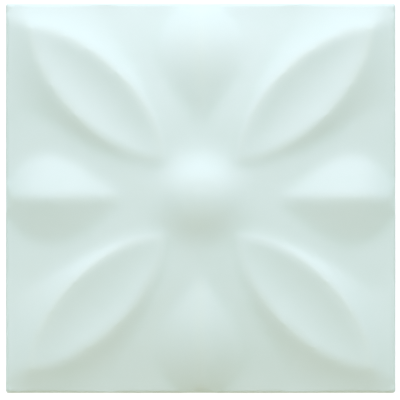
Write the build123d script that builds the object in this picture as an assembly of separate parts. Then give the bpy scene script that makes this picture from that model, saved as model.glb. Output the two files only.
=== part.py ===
"""Square relief tile, pressed and glazed as one piece: a cushioned field that carries a
flower of four hollowed diagonal leaves, four ridged petals and a round boss.

Frame: millimetres, the back lies on z = 0, +Z points out of the face, the origin is the
centre of the back, and the sides run along X and Y. Slopes are in degrees.
"""

import os
from math import acos, atan2, cos, degrees, radians, sin, sqrt, tan

from build123d import *

# Outline and edge
SIDE = 148.0                # side of the square, a nominal 15 cm tile
EDGE_HEIGHT = 7.0           # height of the border above the back, all the way round
CORNER_RADIUS = 1.0         # plan radius of the four corners
ARRIS_RADIUS = 0.8          # rounding where the border turns into the face
EDGE_SLOPE = 45.0           # the steepest that the relief rises from the border
BACK_CHAMFER = 0.6          # bevel round the back

# Cushioned field; heights of the face are above the border
FIELD_RISE = 5.4            # height of the level middle
FIELD_SLOPE = 9.2           # fall of the margins to the sides
FIELD_BEND = 48.0           # plan width of the bend between the two

# Diagonal leaves: a pointed lens with a hollowed face and coved flanks
LEAF_INNER_TIP = 20.0       # from the centre to the near tip
LEAF_TIP_MARGIN = 9.2       # from the far tip to the nearest sides
LEAF_WIDTH = 22.8           # between the two rims at mid-length
LEAF_INNER_HEIGHT = 6.0     # height of the near tip
LEAF_OUTER_HEIGHT = 3.4     # height of the far tip
LEAF_HOLLOW_RADIUS = 55.0   # the face is hollowed crosswise on this radius
FLANK_RIM_SLOPE = 24.0      # fall of the flank where it leaves the rim
FLANK_TAIL_SLOPE = 6.5      # fall of the flank where it dies into the field
FLANK_COVE = 17.0           # plan width of the cove between the two
FLANK_TAIL = 14.0           # plan width of the straight tail below it

# Ridged petals between the leaves. A station of the loft gives the distance from the centre, the
# height of the ridge, the half width at the foot and the fall of the flanks
PETAL_POINT = (20.0, 5.1, 7.0, 3.0)
PETAL_ARCH = (40.0, 6.1, 20.0, 10.0)
PETAL_CREST = (57.0, 6.1, 34.0, 11.5)
PETAL_NOSE = (76.0, 0.2, 38.0, 10.5)    # past the side, where the border trims it
PETAL_COVE_PART = 0.55      # share of the half width that the cove below the flank takes
PETAL_COVE_SLOPE = 1.0      # fall of the coves at their feet

# Round boss
BOSS_RISE = 3.7             # height above the level middle of the field
BOSS_RADIUS = 11.5          # where the crown turns into the cove
BOSS_COVE = 12.0            # plan width of the cove round the crown

# Keyed back
KEY_COUNT = 6               # recesses along each side
KEY_DEPTH = 0.9             # depth of the recesses
KEY_RIB = 4.0               # width of the ribs between them
KEY_BORDER = 7.0            # width of the land round them

OVERLAP = 2.0               # how far a form is carried past what trims it

half_side = SIDE / 2
field_height = EDGE_HEIGHT + FIELD_RISE
seat_height = EDGE_HEIGHT / 4   # the forms of the relief start inside the body


def falling_arc(start, run, slope_in, slope_out):
    """Middle and end of an arc that leaves start falling at slope_in and falls at slope_out
    after a plan width of run: a crown where it steepens, a cove where it eases."""
    angle_in = radians(slope_in)
    angle_out = radians(slope_out)
    radius = run / (sin(angle_out) - sin(angle_in))

    def point(angle):
        return (
            start[0] + radius * (sin(angle) - sin(angle_in)),
            start[1] - radius * (cos(angle_in) - cos(angle)),
        )

    return point((angle_in + angle_out) / 2), point(angle_out)


def envelope():
    """Everything the tile may fill: straight sides, eased border, sloping upwards from it."""
    reach = FIELD_RISE + BOSS_RISE + OVERLAP
    outline = RectangleRounded(SIDE, SIDE, CORNER_RADIUS)
    sides = extrude(outline, EDGE_HEIGHT)
    bottom = sides.faces().sort_by(Axis.Z)[0].edges()
    sides = chamfer(bottom, BACK_CHAMFER)
    slope = extrude(Pos(0, 0, EDGE_HEIGHT) * outline, reach, taper=90 - EDGE_SLOPE)
    solid = sides + slope
    border = solid.edges().filter_by(lambda edge: abs(edge.center().Z - EDGE_HEIGHT) < 1e-6)
    return fillet(border, ARRIS_RADIUS)


def field():
    """The cushion: two crossed bars whose section is level, then bends down to both sides."""
    fall = tan(radians(FIELD_SLOPE))
    margin = (FIELD_RISE - FIELD_BEND * tan(radians(FIELD_SLOPE) / 2)) / fall
    start = (half_side - margin - FIELD_BEND, field_height)
    middle, bend = falling_arc(start, FIELD_BEND, 0, FIELD_SLOPE)
    end = (half_side + OVERLAP, EDGE_HEIGHT - OVERLAP * fall)
    with BuildSketch(Plane.XZ) as section:
        with BuildLine():
            Line((0, field_height), start)
            ThreePointArc(start, middle, bend)
            Polyline(bend, end, (end[0], -OVERLAP), (0, -OVERLAP), (0, field_height))
        make_face()
        mirror(about=Plane.YZ)
    bar = extrude(section.sketch, half_side + OVERLAP, both=True)
    return bar & (Rot(0, 0, 90) * bar)


def leaf():
    """One leaf along +X: coved rounds meet in a lens with a hollowed face. Two of the rounds
    are its long sides, and the third carries the flank round the far tip."""
    outer_tip = (half_side - LEAF_TIP_MARGIN) * sqrt(2)
    drop = LEAF_INNER_HEIGHT - LEAF_OUTER_HEIGHT
    length = sqrt((outer_tip - LEAF_INNER_TIP) ** 2 + drop**2)
    half_width = LEAF_WIDTH / 2

    # the leaf is drawn level, with z = 0 on the line between its tips, and tipped afterwards
    rim_rise = LEAF_HOLLOW_RADIUS - sqrt(LEAF_HOLLOW_RADIUS**2 - half_width**2)

    # how far the flank spreads from the rim at mid-length down to the line between the tips
    rim = radians(FLANK_RIM_SLOPE)
    cove_radius = FLANK_COVE / (sin(rim) - sin(radians(FLANK_TAIL_SLOPE)))
    slope_at_tips = acos(cos(rim) + rim_rise / cove_radius)
    spread = cove_radius * (sin(rim) - sin(slope_at_tips))

    spread_half = half_width + spread
    lens_radius = ((length / 2) ** 2 + spread_half**2) / (2 * spread_half)
    top = (lens_radius - spread, rim_rise)
    middle, foot = falling_arc(top, FLANK_COVE, FLANK_RIM_SLOPE, FLANK_TAIL_SLOPE)
    end = (foot[0] + FLANK_TAIL, foot[1] - FLANK_TAIL * tan(radians(FLANK_TAIL_SLOPE)))
    above = (top[0] - OVERLAP / tan(rim), top[1] + OVERLAP)
    with BuildSketch(Plane.XZ) as section:
        with BuildLine():
            ThreePointArc(top, middle, foot)
            Polyline(foot, end, (end[0], -EDGE_HEIGHT), (0, -EDGE_HEIGHT), (0, above[1]), above, top)
        make_face()
    coved_round = revolve(section.sketch, Axis.Z)
    offset = lens_radius - spread_half
    lens = (Pos(0, -offset, 0) * coved_round) & (Pos(0, offset, 0) * coved_round)
    lens = lens & (Pos(length / 2 - lens_radius, 0, 0) * coved_round)
    hollow = Rot(0, 90, 0) * Cylinder(LEAF_HOLLOW_RADIUS, SIDE)
    lens = lens - Pos(0, 0, LEAF_HOLLOW_RADIUS) * hollow

    tip_angle = degrees(atan2(drop, outer_tip - LEAF_INNER_TIP))
    middle_height = EDGE_HEIGHT + (LEAF_INNER_HEIGHT + LEAF_OUTER_HEIGHT) / 2
    return Pos((outer_tip + LEAF_INNER_TIP) / 2, 0, middle_height) * Rot(0, tip_angle, 0) * lens


def petal():
    """One petal along +X: a roof lofted from its point over its crest to its nose."""

    def arch(station):
        distance, rise, half_width, slope = station
        ridge = (0, EDGE_HEIGHT + rise)
        cove = half_width * PETAL_COVE_PART
        flank = half_width - cove
        shoulder = (flank, ridge[1] - flank * tan(radians(slope)))
        middle, foot = falling_arc(shoulder, cove, slope, PETAL_COVE_SLOPE)
        with BuildSketch(Plane.YZ.offset(distance)) as section:
            with BuildLine():
                Line(ridge, shoulder)
                ThreePointArc(shoulder, middle, foot)
                Polyline(foot, (foot[0], seat_height), (0, seat_height), ridge)
            make_face()
            mirror(about=Plane.YZ)
        return section.sketch.face().outer_wire()

    stations = [PETAL_POINT, PETAL_ARCH, PETAL_CREST, PETAL_NOSE]
    return Solid.make_loft([arch(station) for station in stations])


def boss():
    """Bell-shaped boss: a crown that turns into a cove, both tangent, turned about Z."""
    slope = 2 * degrees(atan2(BOSS_RISE, BOSS_RADIUS + BOSS_COVE))
    top = (0, field_height + BOSS_RISE)
    crown, turn = falling_arc(top, BOSS_RADIUS, 0, slope)
    cove, foot = falling_arc(turn, BOSS_COVE, slope, 0)
    with BuildSketch(Plane.XZ) as section:
        with BuildLine():
            ThreePointArc(top, crown, turn)
            ThreePointArc(turn, cove, foot)
            Polyline(foot, (foot[0], seat_height), (0, seat_height), top)
        make_face()
    return revolve(section.sketch, Axis.Z)


def back_keys():
    """Square recesses in the back that key the tile to its bed."""
    span = SIDE - 2 * KEY_BORDER
    recess = (span - (KEY_COUNT - 1) * KEY_RIB) / KEY_COUNT
    pitch = recess + KEY_RIB
    cutter = Pos(0, 0, (KEY_DEPTH - OVERLAP) / 2) * Box(recess, recess, KEY_DEPTH + OVERLAP)
    return [place * cutter for place in GridLocations(pitch, pitch, KEY_COUNT, KEY_COUNT)]


def relief_tile():
    body = field() + boss()
    for turn in range(4):
        body += Rot(0, 0, 45 + 90 * turn) * leaf()
        body += Rot(0, 0, 90 * turn) * petal()
    body = body & envelope()
    for recess in back_keys():
        body -= recess
    return body


tile = relief_tile()
os.makedirs("parts", exist_ok=True)
export_step(tile.solid(), "parts/relief_tile.step")
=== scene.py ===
"""Relief tile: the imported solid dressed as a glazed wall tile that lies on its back, seen from
straight above on a white table."""

import math

import bpy
import numpy as np
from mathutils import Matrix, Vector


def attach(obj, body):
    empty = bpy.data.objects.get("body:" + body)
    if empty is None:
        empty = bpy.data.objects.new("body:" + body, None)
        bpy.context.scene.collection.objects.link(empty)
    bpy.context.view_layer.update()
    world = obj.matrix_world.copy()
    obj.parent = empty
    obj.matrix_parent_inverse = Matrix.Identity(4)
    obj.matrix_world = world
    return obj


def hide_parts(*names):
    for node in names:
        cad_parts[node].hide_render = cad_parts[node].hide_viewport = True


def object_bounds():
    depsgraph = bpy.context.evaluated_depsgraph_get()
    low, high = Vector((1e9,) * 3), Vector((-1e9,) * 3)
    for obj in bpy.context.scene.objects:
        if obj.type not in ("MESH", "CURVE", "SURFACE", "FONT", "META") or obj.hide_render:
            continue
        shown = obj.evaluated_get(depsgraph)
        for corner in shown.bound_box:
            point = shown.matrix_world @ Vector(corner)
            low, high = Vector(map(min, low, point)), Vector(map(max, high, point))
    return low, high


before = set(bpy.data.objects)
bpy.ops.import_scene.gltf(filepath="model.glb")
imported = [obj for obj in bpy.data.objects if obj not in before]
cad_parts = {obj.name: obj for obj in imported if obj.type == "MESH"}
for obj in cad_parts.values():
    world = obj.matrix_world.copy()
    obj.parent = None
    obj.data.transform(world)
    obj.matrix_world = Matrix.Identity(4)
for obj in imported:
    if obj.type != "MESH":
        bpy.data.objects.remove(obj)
cad_low, cad_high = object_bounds()


# The tile itself: one slab of pale earthenware, pressed in a mould, dipped face down in glaze and
# fired. The melted glaze draws back from the rims and ridges and fills the bottoms of the
# hollows, so a copy of the solid is remeshed finely and softened the way the glaze does it.
MERGE_DISTANCE = 0.00001    # points of the solid that lie closer than this are one
FINE_MESH = 0.0008          # side of a mesh face, fine enough for the rounded rims
EVENING = 60                # passes of smoothing that even out the steps of the fine mesh
GLAZED_FACE = "glazed_face"     # the group of its points that the glaze softens
FACE_TURN = 0.3             # least upward part of a normal that belongs to the face
ARRIS = 0.001               # the glaze leaves this much of the border sharp
RIM_SOFTENING = 16          # passes of smoothing that the thin glaze gives a rim
HOLLOW_SOFTENING = 62       # passes of smoothing that the pooled glaze gives a hollow
RIM_LOSS = 0.00015          # the most that the flow of the glaze takes off a rim
RIPPLE_SIZE = 0.016         # distance between the swells of the glaze
RIPPLE_HEIGHT = 0.00012     # height of the swells
RIPPLE_DETAIL = 1           # plain swells, with no smaller ones on them
MILLIMETRES = 1000          # in a metre

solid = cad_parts["relief_tile"]
tile = bpy.data.objects.new("glazed_tile", solid.data.copy())
bpy.context.scene.collection.objects.link(tile)
bpy.ops.object.select_all(action="DESELECT")
tile.select_set(True)
bpy.context.view_layer.objects.active = tile
bpy.ops.object.mode_set(mode="EDIT")
bpy.ops.mesh.select_all(action="SELECT")
bpy.ops.mesh.remove_doubles(threshold=MERGE_DISTANCE)
bpy.ops.object.mode_set(mode="OBJECT")
fine = tile.modifiers.new("fine_mesh", "REMESH")
fine.mode = "VOXEL"
fine.voxel_size = FINE_MESH
bpy.ops.object.modifier_apply(modifier=fine.name)


def vertex_values(mesh, name):
    """The three numbers of that name that every vertex of the mesh has."""
    values = np.empty(len(mesh.vertices) * 3)
    mesh.vertices.foreach_get(name, values)
    return values.reshape(-1, 3)


def add_smoothing(passes):
    """Smoothing of the glazed face, that many passes of it."""
    smoothing = tile.modifiers.new("smoothing", "SMOOTH")
    smoothing.iterations = passes
    smoothing.vertex_group = GLAZED_FACE
    return smoothing


def softened(passes):
    """Where the tile's points lie after that many passes of smoothing."""
    smoothing = add_smoothing(passes)
    shape = tile.evaluated_get(bpy.context.evaluated_depsgraph_get()).data
    points = vertex_values(shape, "co")
    tile.modifiers.remove(smoothing)
    return points


faces_up = vertex_values(tile.data, "normal")[:, 2] > FACE_TURN
off_border = np.abs(vertex_values(tile.data, "co")[:, :2]).max(axis=1) < cad_high.x - ARRIS
on_face = faces_up & off_border
face_group = tile.vertex_groups.new(name=GLAZED_FACE)
face_group.add(np.flatnonzero(on_face).tolist(), 1.0, "REPLACE")

# the steps of the fine mesh are evened out before it is laid back on the solid
bpy.ops.object.modifier_apply(modifier=add_smoothing(EVENING).name)
settle = tile.modifiers.new("settle_on_solid", "SHRINKWRAP")
settle.target = solid
bpy.ops.object.modifier_apply(modifier=settle.name)

thin = softened(RIM_SOFTENING)
pooled = softened(HOLLOW_SOFTENING)
glaze_depth = np.where(on_face, pooled[:, 2] - thin[:, 2], 0)
points = thin.copy()
points[:, 2] += np.maximum(glaze_depth, -RIM_LOSS)
tile.data.vertices.foreach_set("co", points.ravel())
tile.data.update()

ripple = bpy.data.textures.new("glaze_ripple", "CLOUDS")
ripple.noise_scale = RIPPLE_SIZE
ripple.noise_depth = RIPPLE_DETAIL
swell = tile.modifiers.new("glaze_ripple", "DISPLACE")
swell.texture = ripple
swell.texture_coords = "LOCAL"
swell.direction = "Z"
swell.strength = RIPPLE_HEIGHT
swell.vertex_group = GLAZED_FACE
bpy.ops.object.modifier_apply(modifier=swell.name)
tile.vertex_groups.clear()

# how much deeper the glaze is than on the level parts, for its colour
depth = tile.data.attributes.new("glaze_depth", "FLOAT", "POINT")
depth.data.foreach_set("value", glaze_depth * MILLIMETRES)
bpy.ops.object.shade_smooth()

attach(tile, "root")
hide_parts("relief_tile")


def linear(colour):
    """An sRGB hex colour as the linear RGBA that the nodes take."""
    parts = [int(colour[i : i + 2], 16) / 255 for i in (1, 3, 5)]
    return [p / 12.92 if p <= 0.04045 else ((p + 0.055) / 1.055) ** 2.4 for p in parts] + [1.0]


def add_node(material, kind, settings, inputs):
    """Adds a node, sets its properties, and sets or links its inputs."""
    node = material.node_tree.nodes.new(kind)
    for name, value in settings.items():
        setattr(node, name, value)
    for name, value in inputs.items():
        if isinstance(value, bpy.types.NodeSocket):
            material.node_tree.links.new(value, node.inputs[name])
        else:
            node.inputs[name].default_value = value
    return node


# Satin mint glaze on pale earthenware: milky, a little deeper and greener where it lies thick and
# warmer where it thins over the rims, with faint clouds in its colour and gloss. The back and the
# foot of the sides are bare, a dull gritty buff, and the glaze ends above them in a wavy line.
GLAZE = linear("#C9DDD6")
GLAZE_THICK = linear("#C4DAD1")
GLAZE_THIN = linear("#CADDD4")
DEPTH_RANGE = 0.25          # millimetres of glaze, more or less, between those colours
CLOUD_SIZE = 0.022          # distance between the clouds
CLOUD_DEPTH = 0.22          # millimetres of glaze, more or less, in them
SATIN = (0.26, 0.34)        # roughness of the glaze from cloud to cloud
GLAZE_IOR = 1.5
BARE_BODY = linear("#DCD2C2")
BARE_ROUGHNESS = 0.85
BODY_GRIT = 0.0008          # size of the grains in the bare body
GRIT_SHADE = 0.25           # how much they darken it
GRIT_HEIGHT = 0.00015       # how far they stand out
GLAZE_LINE = 0.0026         # height of the line where the glaze ends
LINE_WANDER = 0.0016        # how far the line wanders up and down
WANDER_SIZE = 0.014         # distance between its waves
WANDER_DETAIL = 1.0         # plain waves, with a few smaller ones
LINE_BLUR = 0.0004          # height over which the glaze thins out to nothing
FIRST, SECOND, MIXED = 6, 7, 2  # the colour sockets of a mix, two that go in and one that comes out

glazed = bpy.data.materials.new("satin glazed earthenware")
glazed.use_nodes = True
glazed.node_tree.nodes.clear()
place = add_node(glazed, "ShaderNodeTexCoord", {}, {})
height = add_node(glazed, "ShaderNodeSeparateXYZ", {}, {"Vector": place.outputs["Object"]})
wander = add_node(
    glazed,
    "ShaderNodeTexNoise",
    {},
    {"Vector": place.outputs["Object"], "Scale": 1 / WANDER_SIZE, "Detail": WANDER_DETAIL},
)
line = add_node(
    glazed,
    "ShaderNodeMapRange",
    {},
    {
        "Value": wander.outputs["Fac"],
        "To Min": GLAZE_LINE - LINE_WANDER,
        "To Max": GLAZE_LINE + LINE_WANDER,
    },
)
above_line = add_node(
    glazed,
    "ShaderNodeMath",
    {"operation": "SUBTRACT"},
    {0: height.outputs["Z"], 1: line.outputs["Result"]},
)
coverage = add_node(
    glazed,
    "ShaderNodeMapRange",
    {"interpolation_type": "SMOOTHSTEP"},
    {"Value": above_line.outputs["Value"], "From Max": LINE_BLUR},
)
pooling = add_node(glazed, "ShaderNodeAttribute", {"attribute_name": "glaze_depth"}, {})
clouds = add_node(
    glazed,
    "ShaderNodeTexNoise",
    {},
    {"Vector": place.outputs["Object"], "Scale": 1 / CLOUD_SIZE},
)
cloud_depth = add_node(
    glazed,
    "ShaderNodeMapRange",
    {},
    {"Value": clouds.outputs["Fac"], "To Min": -CLOUD_DEPTH, "To Max": CLOUD_DEPTH},
)
full_depth = add_node(
    glazed,
    "ShaderNodeMath",
    {"operation": "ADD"},
    {0: pooling.outputs["Fac"], 1: cloud_depth.outputs["Result"]},
)
thickness = add_node(
    glazed,
    "ShaderNodeMapRange",
    {},
    {"Value": full_depth.outputs["Value"], "From Min": -DEPTH_RANGE, "From Max": DEPTH_RANGE},
)
glaze_colour = add_node(
    glazed, "ShaderNodeValToRGB", {}, {"Fac": thickness.outputs["Result"]}
)
ramp = glaze_colour.color_ramp.elements
ramp[0].color = GLAZE_THIN
ramp[1].color = GLAZE_THICK
ramp.new((ramp[0].position + ramp[1].position) / 2).color = GLAZE
grit = add_node(
    glazed,
    "ShaderNodeTexNoise",
    {},
    {"Vector": place.outputs["Object"], "Scale": 1 / BODY_GRIT},
)
body_colour = add_node(
    glazed,
    "ShaderNodeMix",
    {"data_type": "RGBA", "blend_type": "MULTIPLY"},
    {"Factor": GRIT_SHADE, FIRST: BARE_BODY, SECOND: grit.outputs["Color"]},
)
colour = add_node(
    glazed,
    "ShaderNodeMix",
    {"data_type": "RGBA"},
    {
        "Factor": coverage.outputs["Result"],
        FIRST: body_colour.outputs[MIXED],
        SECOND: glaze_colour.outputs["Color"],
    },
)
satin = add_node(
    glazed,
    "ShaderNodeMapRange",
    {},
    {"Value": clouds.outputs["Fac"], "To Min": SATIN[0], "To Max": SATIN[1]},
)
gloss = add_node(
    glazed,
    "ShaderNodeMapRange",
    {},
    {
        "Value": coverage.outputs["Result"],
        "To Min": BARE_ROUGHNESS,
        "To Max": satin.outputs["Result"],
    },
)
bareness = add_node(
    glazed,
    "ShaderNodeMath",
    {"operation": "SUBTRACT"},
    {0: 1.0, 1: coverage.outputs["Result"]},
)
grain = add_node(
    glazed,
    "ShaderNodeBump",
    {},
    {
        "Strength": bareness.outputs["Value"],
        "Distance": GRIT_HEIGHT,
        "Height": grit.outputs["Fac"],
    },
)
surface = add_node(
    glazed,
    "ShaderNodeBsdfPrincipled",
    {},
    {
        "Base Color": colour.outputs[MIXED],
        "Roughness": gloss.outputs["Result"],
        "Normal": grain.outputs["Normal"],
        "IOR": GLAZE_IOR,
    },
)
add_node(glazed, "ShaderNodeOutputMaterial", {}, {"Surface": surface.outputs["BSDF"]})
tile.data.materials.clear()
tile.data.materials.append(glazed)


# The table: a plain sheet lit white from within, so the tile stands out on white with only a
# breath of shadow beside it.
TABLE_SIDE = 6.0            # the sheet runs out of sight
TABLE_GAP = 0.0001          # a hair under the back, so that the two don't share a plane
TABLE_SHEET = linear("#7C7C80")
TABLE_WHITE = linear("#FCFEFF")
TABLE_ROUGHNESS = 0.9
TABLE_GLOW = 0.95           # the light of its own

bpy.ops.object.select_all(action="DESELECT")
bpy.ops.mesh.primitive_plane_add(size=TABLE_SIDE, location=(0, 0, cad_low.z - TABLE_GAP))
table = bpy.context.active_object
table.name = "table"
sheet = bpy.data.materials.new("white light table")
sheet.use_nodes = True
sheet_surface = sheet.node_tree.nodes["Principled BSDF"]
sheet_surface.inputs["Base Color"].default_value = TABLE_SHEET
sheet_surface.inputs["Roughness"].default_value = TABLE_ROUGHNESS
sheet_surface.inputs["Emission Color"].default_value = TABLE_WHITE
sheet_surface.inputs["Emission Strength"].default_value = TABLE_GLOW
table.data.materials.append(sheet)


# The light: a large cool window beyond the top of the picture, whose upper part alone mirrors in
# the glaze, a dim yellowish room all round that fills the slopes turned away from it, and a small
# warm card beyond the bottom of the picture.
WINDOW_SIDE = 4.2
WINDOW_DISTANCE = 2.4
WINDOW_TILT = math.radians(46)  # from straight above
WINDOW_COLOUR = linear("#E9E6FF")
WINDOW_POWER = 149.0
SHEEN_HEIGHT = 2.7          # of the part that mirrors, down from the window's upper edge
SHEEN_DISTANCE = 2.6        # behind the window, so that the two don't share a plane
SHEEN_COLOUR = linear("#FFEFFA")
SHEEN_POWER = 44.0
ROOM_COLOUR = linear("#FAFFCA")
ROOM_LIGHT = 0.31
CARD_SIDE = 0.4
CARD_PLACE = (0, -0.6, 0.25)
CARD_COLOUR = linear("#FFD3AC")
CARD_POWER = 0.85


def add_light(name, size, colour, power, place, tilt):
    """A soft rectangle of light that is turned about X only and out of the camera's sight."""
    lamp = bpy.data.lights.new(name, "AREA")
    lamp.shape = "RECTANGLE"
    lamp.size, lamp.size_y = size
    lamp.color = colour[:3]
    lamp.energy = power
    light = bpy.data.objects.new(name, lamp)
    light.location = place
    light.rotation_euler = (tilt, 0, 0)
    light.visible_camera = False
    bpy.context.scene.collection.objects.link(light)
    return light


def along_tilt(distance, rise):
    """A place that far out along the window's tilt, and that far up at right angles to it."""
    return (
        0,
        distance * math.sin(WINDOW_TILT) - rise * math.cos(WINDOW_TILT),
        distance * math.cos(WINDOW_TILT) + rise * math.sin(WINDOW_TILT),
    )


window = add_light(
    "window",
    (WINDOW_SIDE, WINDOW_SIDE),
    WINDOW_COLOUR,
    WINDOW_POWER,
    along_tilt(WINDOW_DISTANCE, 0),
    -WINDOW_TILT,
)
window.visible_glossy = False
sheen = add_light(
    "window_sheen",
    (WINDOW_SIDE, SHEEN_HEIGHT),
    SHEEN_COLOUR,
    SHEEN_POWER,
    along_tilt(SHEEN_DISTANCE, (WINDOW_SIDE - SHEEN_HEIGHT) / 2),
    -WINDOW_TILT,
)
sheen.visible_diffuse = False
card = add_light(
    "warm_card",
    (CARD_SIDE, CARD_SIDE),
    CARD_COLOUR,
    CARD_POWER,
    CARD_PLACE,
    math.atan2(-CARD_PLACE[1], CARD_PLACE[2]),
)
card.visible_glossy = False

room = bpy.data.worlds.new("room")
room.use_nodes = True
room.node_tree.nodes["Background"].inputs["Color"].default_value = ROOM_COLOUR
room.node_tree.nodes["Background"].inputs["Strength"].default_value = ROOM_LIGHT
bpy.context.scene.world = room
bpy.context.scene.view_settings.view_transform = "Standard"


# The camera: straight above the tile, with a long lens worked out for a square picture. The
# tile nearly fills it and sits a little high.
IMAGE_SIDE = 400
TILE_IN_IMAGE = 387.8       # pixels along a side of the tile, at the height of the table
TILE_OFFSET = (0.7, 1.8)    # pixels that the tile sits right of the middle and above it
LENS_HEIGHT = 1.6           # above the table

tile_side = cad_high.x - cad_low.x
pixel = tile_side / TILE_IN_IMAGE
camera_data = bpy.data.cameras.new("camera")
camera_data.lens = camera_data.sensor_width * LENS_HEIGHT / (IMAGE_SIDE * pixel)
camera = bpy.data.objects.new("camera", camera_data)
camera.location = (-TILE_OFFSET[0] * pixel, -TILE_OFFSET[1] * pixel, LENS_HEIGHT)
bpy.context.scene.collection.objects.link(camera)
bpy.context.scene.camera = camera
